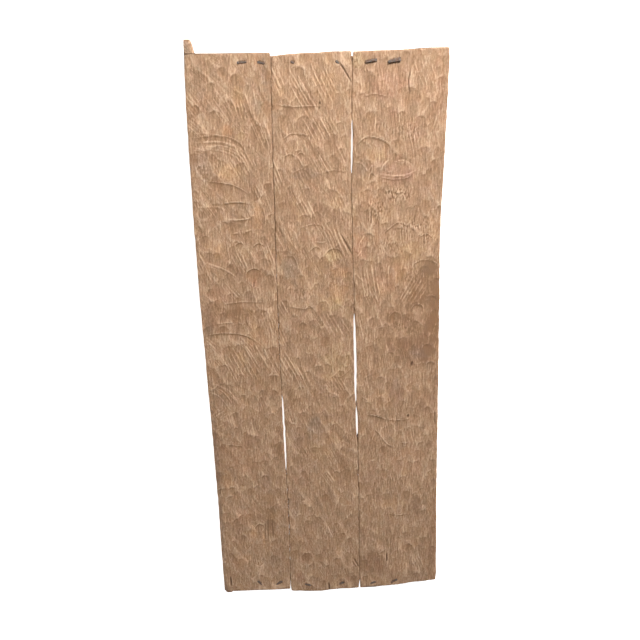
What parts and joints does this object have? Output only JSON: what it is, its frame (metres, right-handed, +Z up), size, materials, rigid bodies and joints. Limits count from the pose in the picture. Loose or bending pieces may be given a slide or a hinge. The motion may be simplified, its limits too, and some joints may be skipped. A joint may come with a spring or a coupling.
{
  "type": "carved granary door",
  "caption": "Hewn plank door with pivot pegs carved on one side plank, back battens and clinched forged nails; its face is dappled all over with adze scoops.",
  "frame": {"origin": "under the middle of the door's outline, on the surface that the battens lie on", "axes": "+Z up out of the hewn face, +Y up the door's height towards its top end, +X across the door away from the pivot pegs"},
  "size_m": [0.5586, 1.315, 0.0525],
  "materials": {
    "weathered_wood": "dry, weathered, adze-cut face with worn ridges and dusty hollows",
    "batten_wood": "rough, darker, split and hewn",
    "forged_iron": "hand-forged, rusted dark brown"
  },
  "bodies": {
    "root": {"left_plank": "weathered_wood", "middle_plank": "weathered_wood", "right_plank": "weathered_wood", "top_batten": "batten_wood", "bottom_batten": "batten_wood", "nail_top_1": "forged_iron", "nail_top_2": "forged_iron", "nail_top_3": "forged_iron", "nail_top_4": "forged_iron", "nail_top_5": "forged_iron", "nail_top_6": "forged_iron", "nail_bottom_1": "forged_iron", "nail_bottom_2": "forged_iron", "nail_bottom_3": "forged_iron", "nail_bottom_4": "forged_iron", "nail_bottom_5": "forged_iron", "nail_bottom_6": "forged_iron"}
  },
  "joints": []
}
